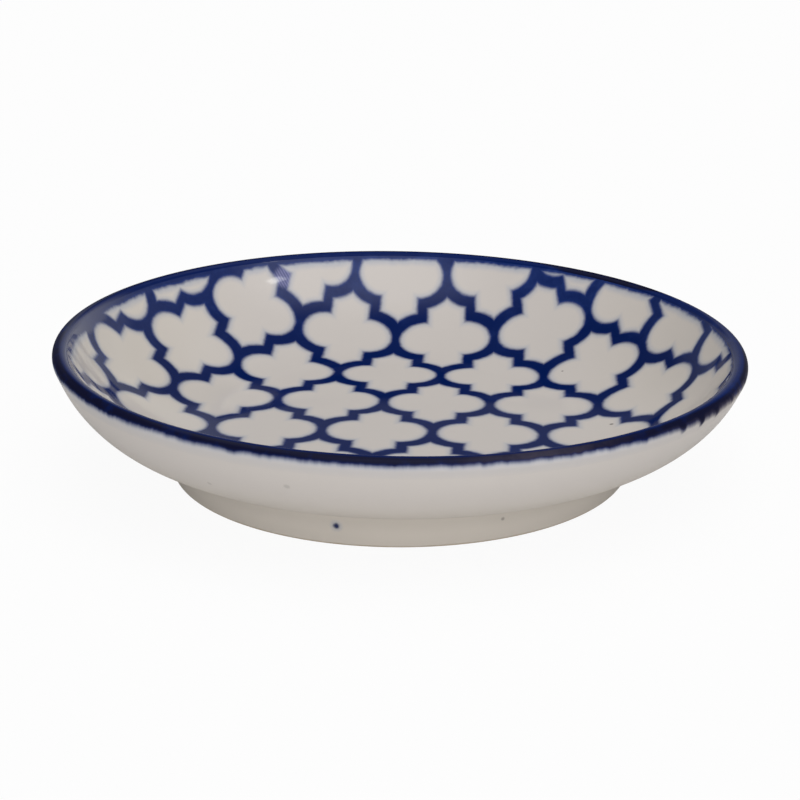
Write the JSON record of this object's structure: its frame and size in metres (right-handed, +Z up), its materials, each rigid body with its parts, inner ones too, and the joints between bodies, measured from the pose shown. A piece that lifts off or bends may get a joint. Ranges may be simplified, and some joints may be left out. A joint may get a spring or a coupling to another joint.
{
  "type": "soy sauce dish",
  "caption": "Small round porcelain dish for dipping sauce: a shallow well with a curved wall and rounded lip on a foot ring, with a cobalt trellis print inside and a cobalt rim band.",
  "frame": {"origin": "on the table, at the dish's axis", "axes": "+Z up along the dish's axis, +Y to the back of the picture, +X to its right"},
  "size_m": [0.095, 0.095, 0.0178],
  "materials": {
    "porcelain": "gloss clear glaze over warm white porcelain",
    "foot_porcelain": "gloss clear glaze, bare on the standing face",
    "cobalt_band": "brushed cobalt under gloss glaze",
    "cobalt_print": "cobalt transfer under gloss glaze"
  },
  "bodies": {
    "root": {"bowl": "porcelain", "foot_ring": "foot_porcelain", "rim_band": "cobalt_band", "trellis_print": "cobalt_print"}
  },
  "joints": []
}
